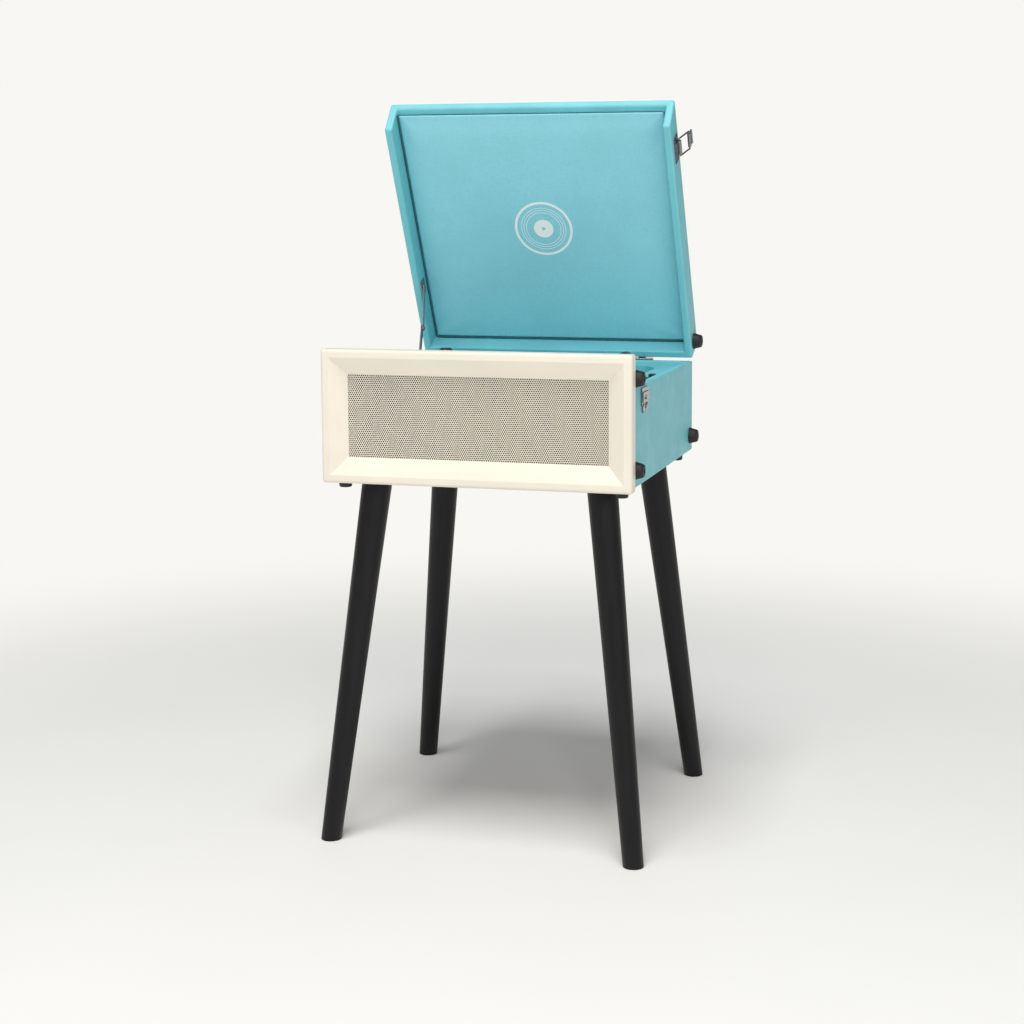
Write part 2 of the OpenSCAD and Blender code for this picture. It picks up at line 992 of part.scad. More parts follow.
// Latch bases on the lid's sides, with the eyes that the links turn in.
module latch_bases() {
    color("#c8c9cc")
        in_lid()
            for (s = [-1, 1])
                scale([s, 1, 1])
                    difference() {
                        union() {
                            block([lid_half, latch_y - 20, latch_z - 17], [lid_half + 1.6, latch_y + 20, latch_z + 6]);
                            block([lid_half, latch_y - 11, latch_z - 13], [lid_half + 3, latch_y + 11, latch_z - 5]);
                            block([lid_half, latch_y - 11, latch_z - 3], [latch_x, latch_y + 11, latch_z + 3]);
                            bar_y([latch_x, latch_y - 11, latch_z], 22, 3);
                        }
                        bar_y([latch_x, latch_y - 30, latch_z], 60, 1.3 + fit);
                    }
}

module hinge_lid_leaves() {
    color("#c8c9cc")
        in_lid()
            for (x = [-hinge_x, hinge_x])
                translate([x, 0, 0])
                    hinge_half(1);
}

// Plate and pin inside the lid's left side, for the stay's upper link.
module stay_lid_bracket() {
    x = -(lid_half - wall);
    color("#b9bcc0")
        in_lid() {
            block([x, stay_a[0] - 9, stay_a[1] - 6], [x + 1.2, stay_a[0] + 16, stay_a[1] + 12]);
            bar_x([x, stay_a[0], stay_a[1]], 5.4, 1.8);
        }
}

// A strap between two points of the (Y, Z) plane.
module strap(p, q, w, bore) {
    d = q - p;
    l = norm(d);
    translate(p)
        rotate(atan2(d[1], d[0]))
            difference() {
                union() {
                    circle(r = w / 2 + 1);
                    translate([0, -w / 2])
                        square([l, w]);
                    translate([l, 0])
                        circle(r = w / 2 + 1);
                }
                circle(r = bore);
            }
}

// Upper link of the lid stay, with the middle rivet.
module stay_upper_link() {
    a = lid_turn(stay_a);
    k = stay_knee(a, stay_b);
    color("#a9abb0")
        in_case() {
            along_x(stay_x + 1.8, stay_x + 3)
                strap(a, k, 6, 1.8 + fit);
            bar_x([stay_x + 1.4, k[0], k[1]], 3.4, 3);
        }
}

// Lower link of the lid stay.
module stay_lower_link() {
    color("#a9abb0")
        in_case()
            along_x(stay_x - 0.4, stay_x + 1.1)
                strap(stay_b, stay_knee(lid_turn(stay_a), stay_b), 9, 2 + fit);
}

// Where the stay's two links meet, given its upper and lower pivots.
function stay_knee(a, b) =
    let (l = norm(b - a), t = (stay_l1 * stay_l1 - stay_l2 * stay_l2 + l * l) / (2 * l))
        a + t * (b - a) / l + sqrt(stay_l1 * stay_l1 - t * t) * [b[1] - a[1], a[0] - b[0]] / l * -1;

// Where a point of the closed lid is when the lid stands open.
function lid_turn(p) = [
    hinge_y + (p[0] - hinge_y) * cos(lid_open) + (p[1] - hinge_z) * sin(lid_open),
    hinge_z - (p[0] - hinge_y) * sin(lid_open) + (p[1] - hinge_z) * cos(lid_open)];

// Wire link of a latch, drawn standing up from its pivot.
module latch_link() {
    for (s = [-1, 1])
        bar_z([0, s * link_w / 2, 0], link_l, 1.3);
    for (z = [0, link_l])
        bar_y([0, -link_w / 2, z], link_w, 1.3);
    for (s = [-1, 1])
        for (z = [0, link_l])
            translate([0, s * link_w / 2, z])
                sphere(r = 1.3);
}

// Lever of a latch, drawn standing up from the link's far end.
module latch_lever() {
    difference() {
        union() {
            bar_y([0, -11, 0], 22, 2.6);
            block([-1, -11, 2], [0.6, 11, lever_l]);
            bar_y([0, -11, lever_l], 22, 1.6);
        }
        bar_y([0, -20, 0], 40, 1.3 + fit);
    }
}

// Both latches stand open above the lid's sides: s = 1 for the right one, -1 for the left.
module in_latch(s) {
    in_lid()
        translate([s * latch_x, latch_y, latch_z])
            rotate([0, s * link_tilt, 0])
                scale([s, 1, 1])
                    children();
}

// The lever leans back a little from its link.
module on_link() {
    translate([0, 0, link_l])
        rotate([0, -lever_bend, 0])
            children();
}

module latch_link_right() {
    color("#d0d2d5")
        in_latch(1)
            latch_link();
}

module latch_link_left() {
    color("#d0d2d5")
        in_latch(-1)
            latch_link();
}

module latch_lever_right() {
    color("#c8c9cc")
        in_latch(1)
            on_link()
                latch_lever();
}

module latch_lever_left() {
    color("#c8c9cc")
        in_latch(-1)
            on_link()
                latch_lever();
}

// Carrying handle, hanging folded against the left side.
module handle() {
    color("#e9dcc5")
        in_case()
            translate([handle_x, handle_y, handle_z]) {
                for (s = [-1, 1]) {
                    bar_y([0, s * (handle_w / 2 + 1) - 9, 0], 18, 3);
                    bar_z([0, s * (handle_w / 2 - 6), -38], 38, 4);
                    translate([0, s * (handle_w / 2 - 6), 0])
                        sphere(r = 4);
                    translate([0, s * (handle_w / 2 - 6), -38])
                        sphere(r = 7);
                }
                bar_y([0, -handle_w / 2 + 6, -38], handle_w - 12, 7);
            }
}
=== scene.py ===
"""The looks of a suitcase record player on legs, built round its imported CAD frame."""
import json
import math
import random
from collections import Counter

import bmesh
import bpy
from mathutils import Matrix, Vector


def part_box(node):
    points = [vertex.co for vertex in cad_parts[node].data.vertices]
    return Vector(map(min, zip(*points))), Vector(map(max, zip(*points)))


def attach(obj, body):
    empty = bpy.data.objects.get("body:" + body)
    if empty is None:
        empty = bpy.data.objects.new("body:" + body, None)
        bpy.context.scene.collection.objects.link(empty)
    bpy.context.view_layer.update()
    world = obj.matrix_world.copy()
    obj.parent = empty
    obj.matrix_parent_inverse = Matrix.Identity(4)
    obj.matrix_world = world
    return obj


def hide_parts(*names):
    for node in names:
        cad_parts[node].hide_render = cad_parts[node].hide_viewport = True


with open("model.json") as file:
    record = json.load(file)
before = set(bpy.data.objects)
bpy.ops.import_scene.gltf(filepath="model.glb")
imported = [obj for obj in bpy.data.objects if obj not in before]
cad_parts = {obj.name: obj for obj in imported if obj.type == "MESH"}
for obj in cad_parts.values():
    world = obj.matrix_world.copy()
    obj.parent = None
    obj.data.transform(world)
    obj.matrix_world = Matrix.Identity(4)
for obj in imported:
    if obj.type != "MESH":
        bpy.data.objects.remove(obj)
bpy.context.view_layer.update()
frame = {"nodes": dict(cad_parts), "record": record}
NODES = frame["nodes"]
MM = 0.001

# The front frame gives the case's corner and size, and the record gives the lid's hinge and angle.
FRAME_LO, FRAME_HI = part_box("front_frame")
FRONT_Y, BOTTOM_Z = FRAME_LO[1], FRAME_LO[2]
FRAME_WIDTH = round((FRAME_HI[0] - FRAME_LO[0]) / MM, 3)
FRAME_HEIGHT = round((FRAME_HI[2] - FRAME_LO[2]) / MM, 3)
HINGE = next(j for j in frame["record"]["behaviour"]["joints"] if j["name"] == "lid_hinge")
LID_ANGLE = math.radians(HINGE["range_deg"][1])
HINGE_AT = Vector(HINGE["pos_m"])


def at(x, y, z):
    """A point in mm from the middle, the front face and the bottom of the front frame."""
    return Vector((x * MM, FRONT_Y + y * MM, BOTTOM_Z + z * MM))


# Opens what is drawn on the closed lid.
LID_TURN = (
    Matrix.Translation(HINGE_AT)
    @ Matrix.Rotation(-LID_ANGLE, 4, "X")
    @ Matrix.Translation(-HINGE_AT)
)

# Sizes in mm, and heights above the front frame's bottom with the lid closed. HALF is half a width.
CASE_DEPTH = 444
FRAME_DEPTH = 20
WALL = 12
CASE_HALF = 224.5
FLOOR_Z = 3
RIM_Z = 145
TOP_Z = FRAME_HEIGHT
# The side boards slope down to the rim over this depth, and the lid's front follows them.
NOSE_RUN = 22
LID_HALF = 224
LID_GAP = 0.3
LID_BOARD = 10
LID_LINER_Z = 173
# The liner's edge, with a cord of this thickness all round it, coloured as painted shade along the
# seam.
PAD_FRONT = 31
SHADE_CORD = 1.8
EMBLEM_Y = CASE_DEPTH - 217
# The opening that the front frame leaves for the grille.
OPENING_WIDTH, OPENING_HEIGHT = 384, 121
# Anything smaller counts as nothing.
TINY = 1e-6


# ---------------------------------------------------------------- materials
def linear(hex_colour):
    """A linear RGBA colour from an sRGB hex string."""
    out = []
    for i in (1, 3, 5):
        c = int(hex_colour[i:i + 2], 16) / 255
        out.append(c / 12.92 if c <= 0.04045 else ((c + 0.055) / 1.055) ** 2.4)
    return (*out, 1.0)


def scaled(colour, k):
    """A colour made k times as bright, none of its parts above 1."""
    return tuple(min(1.0, c * k) for c in colour[:3]) + (1.0,)


class Maker:
    """A material being made: its node tree, its shader and its object coordinates in metres."""

    def __init__(self, name, rough=0.5, metal=0.0, spec=0.5):
        self.mat = bpy.data.materials.new(name)
        self.mat.use_nodes = True
        self.tree = self.mat.node_tree
        self.shader = self.tree.nodes["Principled BSDF"]
        self.shader.inputs["Roughness"].default_value = rough
        self.shader.inputs["Metallic"].default_value = metal
        self.shader.inputs["Specular IOR Level"].default_value = spec
        self.coords = self.tree.nodes.new("ShaderNodeTexCoord").outputs["Object"]
        self.height = None

    def add(self, kind, **props):
        node = self.tree.nodes.new(kind)
        for key, value in props.items():
            setattr(node, key, value)
        return node

    def link(self, a, b):
        self.tree.links.new(a, b)

    def stretched(self, scale):
        """Coordinates for a texture that is drawn out along the axes with a small scale."""
        node = self.add("ShaderNodeMapping")
        node.inputs["Scale"].default_value = scale
        self.link(self.coords, node.inputs["Vector"])
        return node.outputs["Vector"]

    def noise(self, scale, detail=2.0, rough=0.5, vector=None):
        node = self.add("ShaderNodeTexNoise")
        node.inputs["Scale"].default_value = scale
        node.inputs["Detail"].default_value = detail
        node.inputs["Roughness"].default_value = rough
        self.link(vector or self.coords, node.inputs["Vector"])
        return node.outputs["Fac"]

    def cells(self, scale):
        node = self.add("ShaderNodeTexVoronoi", feature="F1")
        node.inputs["Scale"].default_value = scale
        self.link(self.coords, node.inputs["Vector"])
        return node.outputs["Distance"]

    def math(self, op, a, b=0.0):
        node = self.add("ShaderNodeMath", operation=op)
        for socket, value in zip(node.inputs, (a, b)):
            if isinstance(value, (int, float)):
                socket.default_value = value
            else:
                self.link(value, socket)
        return node.outputs[0]

    def span(self, value, lo, hi, to_lo=0.0, to_hi=1.0):
        """Maps lo..hi onto to_lo..to_hi, clamped."""
        node = self.add("ShaderNodeMapRange")
        limits = {"From Min": lo, "From Max": hi, "To Min": to_lo, "To Max": to_hi}
        for socket, number in limits.items():
            node.inputs[socket].default_value = number
        self.link(value, node.inputs["Value"])
        return node.outputs["Result"]

    def blend(self, fac, a, b):
        """A colour between a and b. Inputs 6 and 7 and output 2 are the node's colour sockets."""
        node = self.add("ShaderNodeMix", data_type="RGBA")
        self.link(fac, node.inputs["Factor"])
        for socket, value in ((node.inputs[6], a), (node.inputs[7], b)):
            if isinstance(value, tuple):
                socket.default_value = value
            else:
                self.link(value, socket)
        return node.outputs[2]

    def colour(self, value):
        if isinstance(value, tuple):
            self.shader.inputs["Base Color"].default_value = value
        else:
            self.link(value, self.shader.inputs["Base Color"])

    def roughness(self, value):
        self.link(value, self.shader.inputs["Roughness"])

    def bump(self, value, strength, distance):
        """Lays a relief, its height in metres, over the ones already there."""
        node = self.add("ShaderNodeBump")
        node.inputs["Strength"].default_value = strength
        node.inputs["Distance"].default_value = distance
        self.link(value, node.inputs["Height"])
        if self.height is not None:
            self.link(self.height, node.inputs["Normal"])
        self.height = node.outputs["Normal"]
        self.link(self.height, self.shader.inputs["Normal"])

    def edges(self):
        """How far a point lies on a convex edge, 0 to 1."""
        flat, full = 0.5, 0.5 / 6
        point = self.add("ShaderNodeNewGeometry").outputs["Pointiness"]
        return self.span(point, flat + full / 4, flat + full)


def leatherette(name, base, rough=0.46):
    """Embossed vinyl cloth: fine pebbled grain, faint mottling, paler rubbed edges."""
    m = Maker(name, rough=rough, spec=0.4)
    pebbles = m.cells(620)
    fine = m.noise(1900, 3)
    broad = m.noise(14, 3, 0.6)
    tone = m.blend(m.span(broad, 0.3, 0.7), scaled(base, 0.93), scaled(base, 1.05))
    grain = m.blend(m.span(pebbles, 0.0, 0.75), scaled(base, 1.08), tone)
    tone = m.blend(m.math("MULTIPLY", m.span(pebbles, 0.45, 0.9), 0.35), tone, grain)
    colour = m.blend(m.math("MULTIPLY", m.edges(), 0.3), tone, scaled(base, 1.35))
    m.colour(colour)
    m.roughness(m.span(m.noise(60, 2), 0.3, 0.7, rough - 0.05, rough + 0.09))
    m.bump(pebbles, 0.35, 0.00022)
    m.bump(fine, 0.18, 0.00012)
    return m.mat


def painted(name, base, rough=0.36, grain=0.05):
    """Brush-smooth paint on wood: a trace of grain and orange peel, slightly worn edges."""
    m = Maker(name, rough=rough, spec=0.45)
    streaks = m.noise(55, 4, 0.6, m.stretched((0.12, 1.0, 1.0)))
    broad = m.noise(9, 2)
    tone = m.blend(m.span(broad, 0.3, 0.7), scaled(base, 0.965), scaled(base, 1.02))
    tone = m.blend(m.math("MULTIPLY", m.span(streaks, 0.45, 0.75), grain * 4), tone, scaled(base, 0.93))
    m.colour(m.blend(m.math("MULTIPLY", m.edges(), 0.35), tone, scaled(base, 1.12)))
    m.roughness(m.span(m.noise(130, 3), 0.3, 0.7, rough - 0.05, rough + 0.08))
    m.bump(m.noise(420, 3), 0.1, 0.0001)
    m.bump(streaks, 0.12, 0.0002)
    return m.mat


def lacquer(name, base, rough):
    """Satin black lacquer over turned wood, the long grain just showing."""
    m = Maker(name, rough=rough, spec=0.3)
    rings = m.noise(70, 5, 0.65, m.stretched((1.0, 1.0, 0.035)))
    dust = m.noise(700, 2)
    m.colour(m.blend(m.span(rings, 0.35, 0.7), scaled(base, 0.75), scaled(base, 1.45)))
    m.roughness(m.span(rings, 0.3, 0.75, rough - 0.04, rough + 0.12))
    m.bump(rings, 0.28, 0.00018)
    m.bump(dust, 0.08, 0.00006)
    return m.mat


def moulded(name, base, rough=0.5, grain=1500, depth=0.2):
    """Moulded plastic or rubber with a spark-eroded grain and dusty highlights."""
    m = Maker(name, rough=rough, spec=0.45)
    fine = m.noise(grain, 3, 0.6)
    broad = m.noise(45, 3)
    tone = m.blend(m.span(broad, 0.3, 0.7), scaled(base, 0.85), scaled(base, 1.15))
    m.colour(m.blend(m.math("MULTIPLY", m.edges(), 0.4), tone, scaled(base, 1.9)))
    m.roughness(m.span(fine, 0.3, 0.7, rough - 0.07, rough + 0.1))
    m.bump(fine, depth, 0.00012)
    return m.mat


def metal(name, base, rough):
    """Plated metal: fine level brushing, with darker and paler patches."""
    m = Maker(name, rough=rough, metal=1.0)
    brushed = (1, 1, 18)
    lines = m.noise(420, 3, 0.6, m.stretched(brushed))
    patch = m.noise(90, 3, 0.6)
    m.colour(m.blend(m.span(patch, 0.35, 0.7), scaled(base, 0.86), scaled(base, 1.08)))
    m.roughness(m.span(lines, 0.3, 0.7, rough - 0.06, rough + 0.12))
    m.bump(lines, 0.1, 0.00005)
    return m.mat


def felt(name, base):
    """Dense felt with loose fibres and soft clumps."""
    m = Maker(name, rough=0.95, spec=0.15)
    m.shader.inputs["Sheen Weight"].default_value = 0.5
    m.shader.inputs["Sheen Roughness"].default_value = 0.5
    fibres = m.noise(2600, 4, 0.7)
    clumps = m.noise(240, 3, 0.6)
    m.colour(m.blend(m.span(clumps, 0.3, 0.7), scaled(base, 0.75), scaled(base, 1.35)))
    m.bump(fibres, 0.6, 0.00025)
    m.bump(clumps, 0.25, 0.0003)
    return m.mat


def fibreboard(name, base):
    """Bare pressed board, its chips lying from front to back."""
    m = Maker(name, rough=0.85, spec=0.2)
    chips = m.noise(300, 5, 0.7, m.stretched((1, 0.4, 1)))
    broad = m.noise(18, 2)
    tone = m.blend(m.span(chips, 0.3, 0.7), scaled(base, 0.7), scaled(base, 1.25))
    m.colour(m.blend(m.math("MULTIPLY", m.span(broad, 0.35, 0.7), 0.4), tone, scaled(base, 0.8)))
    m.bump(chips, 0.4, 0.0003)
    return m.mat


# The printed rings' edges: unprinted centre, label, then thin rings and the rim, in mm.
EMBLEM_RADII = (2.6, 15.5, 27.5, 28.3, 31.5, 32.3, 35.5, 36.3, 42.6, 46.6)


def quilted(name, base, print_colour, centre, turn):
    """Padded liner cloth: a fine crossing weave, with a plain ring print.

    Centre and turn take the opened liner's coordinates back to the closed lid's, measured from the
    middle of the print.
    """
    m = Maker(name, rough=0.62, spec=0.3)
    m.shader.inputs["Sheen Weight"].default_value = 0.25
    m.shader.inputs["Sheen Roughness"].default_value = 0.4
    warp = m.noise(900, 2, 0.5, m.stretched((1.0, 0.1, 0.1)))
    weft = m.noise(900, 2, 0.5, m.stretched((0.1, 1.0, 1.0)))
    weave = m.math("ADD", warp, weft)
    broad = m.noise(6, 3, 0.6)
    tone = m.blend(m.span(broad, 0.3, 0.7), scaled(base, 0.95), scaled(base, 1.05))
    tone = m.blend(m.math("MULTIPLY", m.span(weave, 0.8, 1.2), 0.35), tone, scaled(base, 0.82))
    place = m.add("ShaderNodeMapping")
    place.inputs["Location"].default_value = centre
    place.inputs["Rotation"].default_value = (turn, 0, 0)
    m.link(m.coords, place.inputs["Vector"])
    split = m.add("ShaderNodeSeparateXYZ")
    m.link(place.outputs["Vector"], split.inputs["Vector"])
    x, y = split.outputs["X"], split.outputs["Y"]
    radius = m.math("SQRT", m.math("ADD", m.math("MULTIPLY", x, x), m.math("MULTIPLY", y, y)))
    ramp = m.add("ShaderNodeValToRGB")
    ramp.color_ramp.interpolation = "CONSTANT"
    stops = ramp.color_ramp.elements
    white, black = (1, 1, 1, 1), (0, 0, 0, 1)
    reach = 50
    hole, *rings = EMBLEM_RADII
    stops[0].color = black
    stops[1].position = hole / reach
    stops[1].color = white
    for i, ring in enumerate(rings):
        stop = stops.new(ring / reach)
        stop.color = black if i % 2 == 0 else white
    m.link(m.math("DIVIDE", radius, reach * MM), ramp.inputs["Fac"])
    worn = m.span(m.noise(1200, 3, 0.7), 0.28, 0.36, 0.75, 0.95)
    m.colour(m.blend(m.math("MULTIPLY", ramp.outputs["Color"], worn), tone, print_colour))
    m.bump(weave, 0.3, 0.00018)
    return m.mat


def pressed_paper(name, base):
    """Matt fibrous paper or thin cloth."""
    m = Maker(name, rough=0.8, spec=0.2)
    fibres = m.noise(700, 4, 0.7)
    m.colour(m.blend(m.span(fibres, 0.3, 0.7), scaled(base, 0.8), scaled(base, 1.3)))
    m.bump(fibres, 0.4, 0.0002)
    return m.mat


TEAL, CREAM = linear("#78c8d2"), linear("#eee6d6")
CLOSING = LID_TURN.inverted()
EMBLEM_AT = at(0, EMBLEM_Y, LID_LINER_Z)
MATS = {
    "teal": leatherette("teal_leatherette", TEAL),
    # Painted shade: the deck is the case's teal at 0.9 of its brightness, darker for the shade inside
    # the case.
    "deck": leatherette("teal_deck_painted_shade", scaled(TEAL, 0.9), rough=0.5),
    "teal_liner": quilted(
        "teal_liner", linear("#94dce8"), linear("#fbfdfc"),
        CLOSING.translation - EMBLEM_AT, LID_ANGLE,
    ),
    "cream_frame": painted("cream_paint", CREAM),
    "grille": painted("grille_enamel", linear("#f1e9d8"), rough=0.42, grain=0.0),
    "board": fibreboard("bare_fibreboard", linear("#6f5338")),
    "dark_steel": moulded("satin_black_steel", linear("#26272a"), rough=0.36, depth=0.08),
    "cone_paper": pressed_paper("cone_paper", linear("#2b2824")),
    "circuit": moulded("circuit_board", linear("#1d5c33"), rough=0.4, grain=300),
    "steel": metal("zinc_steel", linear("#96999c"), rough=0.3),
    # Painted reflection: the nickel is coloured darker than bare nickel, standing in for dark
    # surroundings mirrored in the plating.
    "nickel": metal("nickel_plate", linear("#8f8f94"), rough=0.17),
    "brass": metal("turned_brass", linear("#c9a24e"), rough=0.3),
    "rubber": moulded("moulded_rubber", linear("#17181b"), rough=0.5, grain=900, depth=0.3),
    "black_wood": lacquer("black_lacquer", linear("#0e0e11"), rough=0.4),
    "black_plastic": moulded("black_plastic", linear("#1c1d1f"), rough=0.42),
    "cream_plastic": moulded("cream_plastic", linear("#e5d6b8"), rough=0.33, depth=0.06),
    "red_plastic": moulded("red_plastic", linear("#a8301f"), rough=0.32, depth=0.05),
    "felt": felt("slipmat_felt", linear("#2c2d31")),
}
GRILLE_CLOTH = pressed_paper("grille_cloth", linear("#0b0a08"))
SEAM_PAINTED_SHADE = moulded("seam_shadow", linear("#235a63"), rough=0.8)

for item in frame["record"]["subparts"]:
    node = NODES[item["node"]]
    node.data.materials.clear()
    node.data.materials.append(MATS[item["material_slot"]])
# The board's sloping top stands in sight above the deck, so it wears the case's covering.
NODES["front_baffle"].data.materials[0] = MATS["teal"]


# ---------------------------------------------------------------- mesh helpers
def add_object(name, data):
    """A new object in the scene."""
    obj = bpy.data.objects.new(name, data)
    bpy.context.scene.collection.objects.link(obj)
    return obj


def smooth(obj, angle=40):
    """Shades an object smooth, but keeps edges sharper than the angle."""
    obj.data.shade_smooth()
    obj.data.set_sharp_from_angle(angle=math.radians(angle))


def from_bmesh(name, bm, slot, place=None, angle=40):
    """Closes a bmesh into an object with the slot's material, smoothed by angle."""
    bmesh.ops.recalc_face_normals(bm, faces=bm.faces)
    mesh = bpy.data.meshes.new(name)
    bm.to_mesh(mesh)
    bm.free()
    if place is not None:
        mesh.transform(place)
    obj = add_object(name, mesh)
    mesh.materials.append(MATS[slot])
    smooth(obj, angle)
    return obj


def settle(obj, body, slot, *replaced):
    """Rides a new piece on its body and hides the CAD nodes that it stands for. The slot is not used.
    """
    if replaced:
        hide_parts(*replaced)
    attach(obj, body)
    return obj


def fused(cells):
    """One closed bmesh from convex cells that share whole faces, each (bottom ring, top ring).

    Corners are matched to a micrometre, and a wall that two cells share is left out.
    """
    bm = bmesh.new()
    corners, walls = {}, []

    def corner(point):
        key = tuple(round(c / MM * 1000) for c in point)
        if key not in corners:
            corners[key] = bm.verts.new(point)
        return corners[key]

    for low, high in cells:
        a = [corner(p) for p in low]
        b = [corner(p) for p in high]
        n = len(a)
        walls += [a[::-1], b] + [[a[i], a[(i + 1) % n], b[(i + 1) % n], b[i]] for i in range(n)]
    shared = Counter(frozenset(wall) for wall in walls)
    for wall in walls:
        if shared[frozenset(wall)] == 1:
            bm.faces.new(wall)
    bmesh.ops.recalc_face_normals(bm, faces=bm.faces)
    bmesh.ops.dissolve_limit(bm, angle_limit=math.radians(0.5), verts=bm.verts, edges=bm.edges)
    return bm


def round_edges(bm, width):
    """Rounds every edge of a bmesh that turns more than 25 degrees."""
    least = math.radians(25)
    sharp = [e for e in bm.edges if e.is_manifold and e.calc_face_angle(0) > least]
    bmesh.ops.bevel(
        bm, geom=sharp, offset=width * MM, segments=3, profile=0.5,
        affect="EDGES", clamp_overlap=True,
    )


def weighted(obj):
    """Evens out the shading of large flat faces beside their rounded edges."""
    obj.modifiers.new("even_normals", "WEIGHTED_NORMAL").keep_sharp = True


def lathe(profile, place, steps=64, bm=None):
    """Turns (radius, height) points in mm about Z, then places the result."""
    bm = bm or bmesh.new()
    made, rings = [], []
    for r, h in profile:
        if r < TINY:
            ring = [bm.verts.new((0, 0, h * MM))]
        else:
            ring = [
                bm.verts.new((r * MM * math.cos(a), r * MM * math.sin(a), h * MM))
                for a in (2 * math.pi * i / steps for i in range(steps))
            ]
        rings.append(ring)
        made += ring
    for one, two in zip(rings, rings[1:]):
        for i in range(steps):
            j = (i + 1) % steps
            quad = [one[i % len(one)], one[j % len(one)], two[j % len(two)], two[i % len(two)]]
            corners = list(dict.fromkeys(quad))
            if len(corners) > 2:
                bm.faces.new(corners)
    bmesh.ops.transform(bm, matrix=place, verts=made)
    return bm


# ---------------------------------------------------------------- front frame and grille
def rounded_ring(half_w, half_h, radius, steps=6):
    """Points round a rectangle's rounded outline, in mm, the same number for any radius."""
    points = []
    for k, (sx, sz) in enumerate(((1, 1), (-1, 1), (-1, -1), (1, -1))):
        for i in range(steps + 1):
            a = math.radians(90 * k + 90 * i / steps)
            points.append((
                sx * (half_w - radius) + radius * math.cos(a),
                sz * (half_h - radius) + radius * math.sin(a),
            ))
    return points


def make_front_frame():
    """Mitred picture-frame moulding: rounded arris, flat rim, sloping bevel, back rebate."""
    w, h = FRAME_WIDTH / 2, FRAME_HEIGHT / 2
    arris, rim, bevel, depth, rebate = 5.0, 12.5, 24.0, 14.0, 6
    outer_corner, least_corner = 4.0, 0.6
    profile = [(rebate, FRAME_DEPTH), (0, FRAME_DEPTH)]
    for i in range(7):
        a = math.radians(90 * i / 6)
        profile.append((arris - arris * math.cos(a), arris - arris * math.sin(a)))
    profile += [(rim - 1.2, 0.0), (rim - 0.4, 0.12), (rim + 0.3, 0.55)]
    profile += [(rim + bevel * t, 0.2 + (depth - 0.6) * t) for t in (0.25, 0.5, 0.75)]
    profile += [
        (rim + bevel - 0.8, depth - 0.7), (rim + bevel - 0.1, depth), (rim + bevel, depth + 1),
        (rim + bevel - rebate, depth + 1), (rim + bevel - rebate, FRAME_DEPTH),
    ]
    bm = bmesh.new()
    rings = []
    for inset, y in profile:
        radius = max(least_corner, outer_corner - inset)
        ring = rounded_ring(w - inset, h - inset, radius)
        rings.append([bm.verts.new(at(x, y, z + h)) for x, z in ring])
    n = len(rings[0])
    for one, two in zip(rings, rings[1:] + rings[:1]):
        for i in range(n):
            bm.faces.new((one[i], one[(i + 1) % n], two[(i + 1) % n], two[i]))
    obj = from_bmesh("cream_front_frame", bm, "cream_frame", angle=28)
    weighted(obj)
    return settle(obj, "case", "cream_frame", "front_frame")


def make_grille():
    """Perforated sheet: staggered holes, each in its own six-sided cell, cut right through."""
    pitch, hole = 3.2, 1.31
    row = pitch * math.sqrt(3) / 2
    tuck = 3
    half_w, half_h = OPENING_WIDTH / 2 + tuck, OPENING_HEIGHT / 2 + tuck
    mid_z = FRAME_HEIGHT / 2
    front, back = 15.05, 15.8
    outer_r = pitch / math.sqrt(3)
    spokes = [math.radians(60 * k + 30) for k in range(6)]
    verts, faces, corner_ids = [], [], {}

    def corner(x, z, y):
        """The number of a corner that neighbouring cells share."""
        key = (round(x * 50), round(z * 50), y)
        if key not in corner_ids:
            corner_ids[key] = len(verts)
            verts.append(at(x, y, z + mid_z))
        return corner_ids[key]

    rows = int(half_h / row)
    for j in range(-rows, rows + 1):
        shift = pitch / 2 if j % 2 else 0
        cols = int((half_w - shift) / pitch)
        for i in range(-cols - (1 if shift else 0), cols + 1):
            cx, cz = i * pitch + shift, j * row
            cell = [(cx + outer_r * math.cos(a), cz + outer_r * math.sin(a)) for a in spokes]
            loops = {}
            for y in (front, back):
                outer = [corner(x, z, y) for x, z in cell]
                start = len(verts)
                verts.extend(
                    at(cx + hole * math.cos(a), y, cz + hole * math.sin(a) + mid_z) for a in spokes
                )
                loops[y] = (outer, [start + k for k in range(6)])
            for k in range(6):
                n = (k + 1) % 6
                fo, fi = loops[front]
                bo, bi = loops[back]
                faces.append((fo[k], fo[n], fi[n], fi[k]))
                faces.append((bo[n], bo[k], bi[k], bi[n]))
                faces.append((fi[k], fi[n], bi[n], bi[k]))
    mesh = bpy.data.meshes.new("grille_sheet")
    mesh.from_pydata([tuple(v) for v in verts], [], faces)
    bm = bmesh.new()
    bm.from_mesh(mesh)
    rim = [e for e in bm.edges if e.is_boundary]
    bmesh.ops.bridge_loops(bm, edges=rim)
    obj = from_bmesh("grille_sheet", bm, "grille", angle=20)
    settle(obj, "case", "grille", "speaker_grille")


def make_grille_cloth():
    """Dark cloth stretched behind the holes, a little slack."""
    tuck, behind, slack, ripple, thickness = 4, 17.6, 0.25, 0.05, 0.5
    half_w, half_h = OPENING_WIDTH / 2 + tuck, OPENING_HEIGHT / 2 + tuck
    bm = bmesh.new()
    bmesh.ops.create_grid(bm, x_segments=48, y_segments=16, size=1.0)
    rng = random.Random(5)
    for v in bm.verts:
        sag = slack * math.sin(v.co.x * 9) * math.cos(v.co.y * 5) + rng.uniform(-ripple, ripple)
        v.co = at(v.co.x * half_w, behind + sag, v.co.y * half_h + FRAME_HEIGHT / 2)
    cloth = from_bmesh("grille_cloth", bm, "felt", angle=60)
    cloth.data.materials[0] = GRILLE_CLOTH
    cloth.modifiers.new("thickness", "SOLIDIFY").thickness = thickness * MM
    settle(cloth, "case", "felt")


